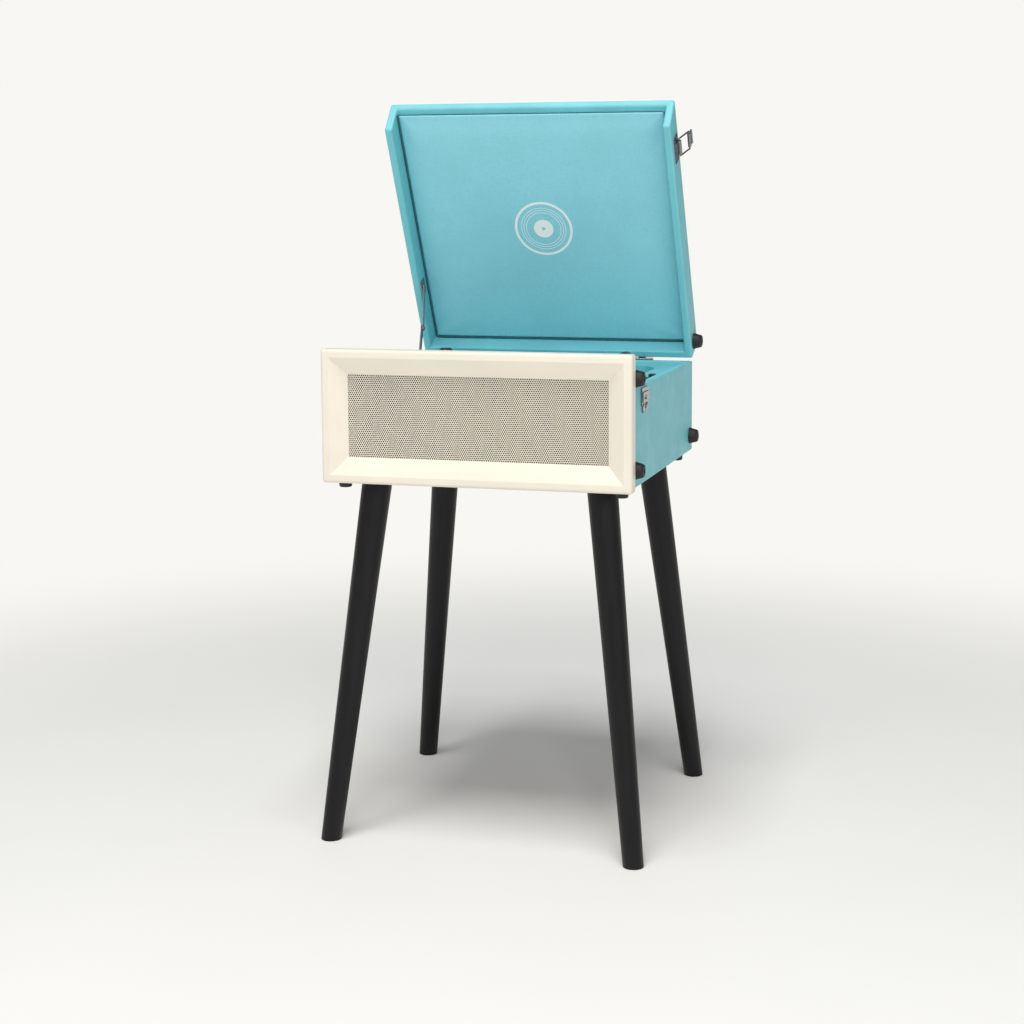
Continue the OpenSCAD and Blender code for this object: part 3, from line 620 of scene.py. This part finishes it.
# ---------------------------------------------------------------- covered case and lid
def prism(section, x0, x1):
    """A cell from a (y, z) outline in mm between two X planes."""
    return [at(x0, y, z) for y, z in section], [at(x1, y, z) for y, z in section]


def make_case_shell():
    """Sides and back under one skin of leatherette, with softened edges."""
    shoulder, back = FRAME_DEPTH + NOSE_RUN, CASE_DEPTH - WALL
    low = [(FRAME_DEPTH, FLOOR_Z), (shoulder, FLOOR_Z), (shoulder, RIM_Z), (FRAME_DEPTH, RIM_Z)]
    nose = [(FRAME_DEPTH, RIM_Z), (shoulder, RIM_Z), (FRAME_DEPTH, TOP_Z)]
    long = [(shoulder, FLOOR_Z), (back, FLOOR_Z), (back, RIM_Z), (shoulder, RIM_Z)]
    end = [(back, FLOOR_Z), (CASE_DEPTH, FLOOR_Z), (CASE_DEPTH, RIM_Z), (back, RIM_Z)]
    inner = CASE_HALF - WALL
    cells = [prism(end, -inner, inner)]
    for x0, x1 in ((-CASE_HALF, -inner), (inner, CASE_HALF)):
        cells += [prism(s, x0, x1) for s in (low, nose, long, end)]
    bm = fused(cells)
    round_edges(bm, width=2.6)
    obj = from_bmesh("case_shell", bm, "teal", angle=35)
    weighted(obj)
    return settle(obj, "case", "teal", "case_sides", "case_back")


def make_lid_shell():
    """The lid's top, sides and back under one skin, drawn closed and then opened."""
    rim, under, top = RIM_Z + LID_GAP, TOP_Z - LID_BOARD, TOP_Z
    back = CASE_DEPTH - WALL
    inner = LID_HALF - WALL
    top_y = 20.5

    def front_y(z):
        return top_y + (top - z) * NOSE_RUN / (TOP_Z - RIM_Z)

    def cell(x0, x1, z0, z1, behind):
        """A block between two heights: the back wall's own stretch, or all in front of it."""
        near = [(back if behind else front_y(z), z) for z in (z0, z1)]
        far = CASE_DEPTH if behind else back
        return prism([near[0], (far, z0), (far, z1), near[1]], x0, x1)

    cells = []
    for x0, x1 in ((-LID_HALF, -inner), (-inner, inner), (inner, LID_HALF)):
        if x0 != -inner:
            cells.append(cell(x0, x1, rim, under, behind=False))
        cells.append(cell(x0, x1, rim, under, behind=True))
        cells.append(cell(x0, x1, under, top, behind=False))
        cells.append(cell(x0, x1, under, top, behind=True))
    bm = fused(cells)
    round_edges(bm, width=2.8)
    obj = from_bmesh("lid_shell", bm, "teal", place=LID_TURN, angle=35)
    weighted(obj)
    return settle(obj, "lid", "teal", "lid_top", "lid_sides", "lid_back")


def make_lid_pad():
    """The padded liner, inflated by a short cloth simulation and held flat at its back."""
    x, y0, y1 = LID_HALF - WALL - SHADE_CORD, PAD_FRONT + SHADE_CORD, CASE_DEPTH - WALL - SHADE_CORD
    z0, z1 = LID_LINER_Z + 1.2, TOP_Z - LID_BOARD
    voxel, held_depth, pressure, last_step, cap = 5 * MM, 3 * MM, 4, 20, 1.6 * MM
    bm = bmesh.new()
    bmesh.ops.create_cube(bm, size=1.0)
    mid = at(0, (y0 + y1) / 2, (z0 + z1) / 2)
    size = Vector((2 * x, y1 - y0, z1 - z0)) * MM
    for v in bm.verts:
        v.co = mid + Vector(a * b for a, b in zip(v.co, size))
    obj = from_bmesh("lid_pad", bm, "teal_liner")
    bpy.context.view_layer.objects.active = obj
    obj.select_set(True)
    obj.data.remesh_voxel_size = voxel
    bpy.ops.object.voxel_remesh()
    start = [v.co.copy() for v in obj.data.vertices]
    moved = start
    held = obj.vertex_groups.new(name="held")
    back_z = at(0, 0, z1).z - held_depth
    held.add([v.index for v in obj.data.vertices if v.co.z > back_z], 1.0, "REPLACE")
    cloth = obj.modifiers.new("cloth", "CLOTH")
    cloth.settings.use_pressure = True
    cloth.settings.uniform_pressure_force = pressure
    cloth.settings.effector_weights.gravity = 0
    cloth.settings.vertex_group_mass = "held"
    for step in range(1, last_step + 1):
        bpy.context.scene.frame_set(step)
    shape = obj.evaluated_get(bpy.context.evaluated_depsgraph_get()).to_mesh()
    moved = [v.co.copy() for v in shape.vertices]
    obj.modifiers.remove(cloth)
    bpy.context.scene.frame_set(1)
    for v, a, b in zip(obj.data.vertices, start, moved):
        push = b - a
        if push.length > cap:
            push *= cap / push.length
        v.co = a + push
    obj.data.transform(LID_TURN)
    obj.modifiers.new("fine", "SUBSURF").render_levels = 1
    smooth(obj, 180)
    obj.select_set(False)
    obj.data.materials.clear()
    obj.data.materials.append(MATS["teal_liner"])
    return settle(obj, "lid", "teal_liner", "lid_liner")


def make_painted_seam_shade():
    """A cord round the padded liner, coloured dark teal as painted shade along the seam, drawn closed
    and then opened.
    """
    half_x = LID_HALF - WALL - SHADE_CORD / 2
    half_y = (CASE_DEPTH - WALL - PAD_FRONT - SHADE_CORD) / 2
    mid_y = (CASE_DEPTH - WALL + PAD_FRONT) / 2
    cord_z, corner_r, sides = LID_LINER_Z + 2.4, 5, 10
    path = [at(x, mid_y + y, cord_z) for x, y in rounded_ring(half_x, half_y, corner_r)]
    turns = [2 * math.pi * k / sides for k in range(sides)]
    up = Vector((0, 0, SHADE_CORD / 2 * MM))
    bm = bmesh.new()
    rings = []
    for i, point in enumerate(path):
        ahead = path[(i + 1) % len(path)] - path[i - 1]
        out = ahead.cross(Vector((0, 0, 1))).normalized() * SHADE_CORD / 2 * MM
        rings.append([bm.verts.new(point + out * math.cos(a) + up * math.sin(a)) for a in turns])
    for one, two in zip(rings, rings[1:] + rings[:1]):
        for k in range(sides):
            n = (k + 1) % sides
            bm.faces.new((one[k], one[n], two[n], two[k]))
    obj = from_bmesh("lid_painted_seam_shade", bm, "teal", place=LID_TURN, angle=70)
    # Painted shade: the cord's dark teal stands for the shadow in the seam round the liner.
    obj.data.materials[0] = SEAM_PAINTED_SHADE
    return settle(obj, "lid", "teal")


def make_slot_shadows():
    """Black boxes in the latch keepers' slots, painted shade for their dark insides, 0.7 to 1.1 mm off
    the case's sides.
    """
    mid_y, mid_z, width, height = 93, 114, 6.9, 8.9
    for side, sx in (("right", 1), ("left", -1)):
        bm = bmesh.new()
        bmesh.ops.create_cube(bm, size=1.0)
        for v in bm.verts:
            off = 0.7 + 0.4 * (v.co.x + 0.5)
            v.co = at(sx * (CASE_HALF + off), mid_y + v.co.y * width, mid_z + v.co.z * height)
        # Painted shade: a black box stands for the dark inside of the slot.
        obj = from_bmesh(f"slot_painted_shade_{side}", bm, "black_plastic")
        settle(obj, "case", "black_plastic")


# ---------------------------------------------------------------- legs, bumpers and feet
def make_legs():
    """Four tapering legs, rounded at the foot and cut level with the floor."""
    tilt, leg_x, leg_y, mid_y = math.radians(9), 169, 160, 230
    top_r, foot_r, top_gap, past_floor, round_foot = 22, 15, 5, 20, 1.4
    length = (BOTTOM_Z / MM - top_gap) / math.cos(tilt)

    def radius(h):
        return top_r - (top_r - foot_r) * (-top_gap - h) / length

    heights = [-top_gap, -top_gap - 0.6] + [-top_gap - length * k / 12 for k in range(1, 12)]
    heights.append(-top_gap - length - past_floor)
    profile = [(0, -top_gap), (radius(-top_gap) - 0.9, -top_gap)]
    profile += [(radius(h), h) for h in heights[1:]] + [(0, heights[-1])]
    for sx, side in ((-1, "left"), (1, "right")):
        for sy, end in ((-1, "front"), (1, "rear")):
            place = (
                Matrix.Translation(at(sx * leg_x, mid_y + sy * leg_y, 0))
                @ Matrix.Rotation(math.atan2(sy, sx), 4, "Z")
                @ Matrix.Rotation(-tilt, 4, "Y")
            )
            bm = lathe(profile, place, steps=72)
            cut = bmesh.ops.bisect_plane(
                bm, geom=bm.verts[:] + bm.edges[:] + bm.faces[:], plane_co=(0, 0, 0),
                plane_no=(0, 0, -1), clear_outer=True,
            )
            rim = [g for g in cut["geom_cut"] if isinstance(g, bmesh.types.BMEdge)]
            bmesh.ops.contextual_create(bm, geom=rim)
            rim = [e for e in bm.edges if all(v.co.z < TINY for v in e.verts)]
            bmesh.ops.bevel(
                bm, geom=rim, offset=round_foot * MM, segments=3, profile=0.5, affect="EDGES",
            )
            obj = from_bmesh(f"leg_{end}_{side}", bm, "black_wood", angle=50)
            settle(obj, "case", "black_wood", "legs")


# Half sections as (radius, height) in mm: a bumper from its base, a foot from its worn face.
BUMPER = [
    (0, 0), (12.2, 0), (12.5, 0.4), (12.4, 1.6), (11.6, 4.5), (10.6, 8.5), (9.8, 11.4), (9.0, 12.9),
    (7.9, 13.5), (4.6, 13.5), (3.9, 12.8), (3.4, 11.2), (0, 10.9),
]
FOOT = [(0, -10), (7.6, -10), (8.6, -9.5), (9.1, -8.5), (9.7, -2), (10, 2.6), (9.6, 3), (0, 3)]
SIDEWAYS = Matrix.Rotation(math.radians(90), 4, "Y")


def make_bumpers():
    """Three bumpers on the case's right side, one on the lid's, and four feet under the case."""
    bm = bmesh.new()
    for y, z in ((35, 29), (35, 157.5), (423, 28)):
        lathe(BUMPER, Matrix.Translation(at(CASE_HALF, y, z)) @ SIDEWAYS, bm=bm)
    settle(from_bmesh("bumpers_case", bm, "rubber"), "case", "rubber", "case_bumpers")
    bm = lathe(BUMPER, Matrix.Translation(at(LID_HALF, 424, 166)) @ SIDEWAYS)
    settle(from_bmesh("bumper_lid", bm, "rubber", LID_TURN), "lid", "rubber", "lid_bumper")
    bm = bmesh.new()
    for x in (-206, 206):
        for y in (35, 412):
            lathe(FOOT, Matrix.Translation(at(x, y, 0)), steps=48, bm=bm)
    settle(from_bmesh("feet_case", bm, "rubber"), "case", "rubber", "under_feet")


# ---------------------------------------------------------------- plain CAD nodes kept, edges softened
def soften(node, width):
    """Rounds a kept CAD node's hard edges without touching its mesh."""
    bevel = NODES[node].modifiers.new("soft_edges", "BEVEL")
    bevel.width = width * MM
    bevel.segments = 2
    bevel.limit_method = "ANGLE"
    bevel.angle_limit = math.radians(32)
    bevel.use_clamp_overlap = True
    bevel.harden_normals = True


make_front_frame()
make_grille()
make_grille_cloth()
make_case_shell()
make_lid_shell()
make_lid_pad()
make_painted_seam_shade()
make_slot_shadows()
make_legs()
make_bumpers()
for name, width in (
    ("deck_plate", 1.0), ("latch_bases", 0.5), ("latch_keepers", 0.5), ("connector_panel", 0.5),
    ("arm_rest", 0.4), ("headshell", 0.5), ("cartridge", 0.4), ("tonearm_turret", 0.4),
    ("speed_switch", 0.7), ("autostop_switch", 0.7), ("deck_peg", 1.0),
):
    soften(name, width)


# ---------------------------------------------------------------- floor, light and camera
PALE = linear("#f8f7f3")
NEUTRAL, WARM = (1.0, 1.0, 1.0), (1.0, 0.985, 0.965)


def make_floor():
    """A pale floor that takes the shadow near the object and glows evenly further out."""
    shadow_reach, glow_reach = 0.6, 2.3
    bpy.ops.mesh.primitive_plane_add(size=80, location=(0, 0, 0))
    floor = bpy.context.object
    floor.name = "studio_floor"
    m = Maker("studio_floor", rough=0.9, spec=0.1)
    m.colour(m.blend(m.span(m.noise(3, 2), 0.3, 0.7), scaled(PALE, 0.985), PALE))
    length = m.add("ShaderNodeVectorMath", operation="LENGTH")
    m.link(m.coords, length.inputs[0])
    glow = m.add("ShaderNodeEmission")
    glow.inputs["Color"].default_value = PALE
    mix = m.add("ShaderNodeMixShader")
    far = m.add("ShaderNodeMapRange", interpolation_type="SMOOTHERSTEP")
    far.inputs["From Min"].default_value = shadow_reach
    far.inputs["From Max"].default_value = glow_reach
    m.link(length.outputs["Value"], far.inputs["Value"])
    m.link(far.outputs["Result"], mix.inputs["Fac"])
    m.link(m.shader.outputs["BSDF"], mix.inputs[1])
    m.link(glow.outputs["Emission"], mix.inputs[2])
    m.link(mix.outputs["Shader"], m.tree.nodes["Material Output"].inputs["Surface"])
    floor.data.materials.append(m.mat)


def make_world():
    """A pale surround as the camera sees it, and a dim cool one that lights the object."""
    world = bpy.data.worlds.new("studio")
    bpy.context.scene.world = world
    world.use_nodes = True
    tree = world.node_tree
    shown = tree.nodes["Background"]
    shown.inputs["Color"].default_value = PALE
    shown.inputs["Strength"].default_value = 1.0
    lit = tree.nodes.new("ShaderNodeBackground")
    lit.inputs["Color"].default_value = linear("#f4f7fb")
    lit.inputs["Strength"].default_value = 0.2
    seen = tree.nodes.new("ShaderNodeLightPath")
    pick = tree.nodes.new("ShaderNodeMixShader")
    tree.links.new(seen.outputs["Is Camera Ray"], pick.inputs["Fac"])
    tree.links.new(lit.outputs["Background"], pick.inputs[1])
    tree.links.new(shown.outputs["Background"], pick.inputs[2])
    tree.links.new(pick.outputs["Shader"], tree.nodes["World Output"].inputs["Surface"])


def make_lights():
    """Five soft square lights, in metres and watts, all aimed at the case."""
    target = Vector((0, 0, 0.6))
    for name, place, size, power, tint in (
        ("key", (0.75, -3.2, 2.3), 1.4, 35, WARM),
        ("left", (-1.3, -2.1, 1.3), 0.9, 3.5, NEUTRAL),
        ("right", (2.6, -2.4, 1.6), 1.8, 12, NEUTRAL),
        ("back", (-0.8, 2.8, 2.6), 2.2, 6, NEUTRAL),
        ("top", (0.1, -1.9, 6.0), 2.6, 235, NEUTRAL),
    ):
        light = bpy.data.lights.new(name, "AREA")
        light.size = size
        light.energy = power
        light.color = tint
        obj = add_object(name, light)
        obj.location = place
        aim = target - obj.location
        obj.rotation_euler = aim.to_track_quat("-Z", "Y").to_euler()


def make_camera():
    """The photograph's viewpoint: right of the middle, slightly above the open deck."""
    focal_mm, yaw, pitch, roll = 67.17, 15.71, -7.43, 0.27
    shift_x, shift_y = -0.0273, -0.0801
    place = at(808.83, -2529.14, 429.14)
    data = bpy.data.cameras.new("camera")
    data.sensor_width = 36
    data.lens = focal_mm
    data.shift_x = shift_x
    data.shift_y = shift_y
    data.clip_start, data.clip_end = 0.05, 200
    cam = add_object("camera", data)
    turn = (
        Matrix.Rotation(math.radians(yaw), 4, "Z")
        @ Matrix.Rotation(math.radians(pitch), 4, "X")
        @ Matrix.Rotation(math.radians(roll), 4, "Y")
        @ Matrix.Rotation(math.radians(90), 4, "X")
    )
    cam.matrix_world = Matrix.Translation(place) @ turn
    bpy.context.scene.camera = cam


make_floor()
make_world()
make_lights()
make_camera()
bpy.context.scene.view_settings.view_transform = "Standard"
bpy.context.view_layer.update()
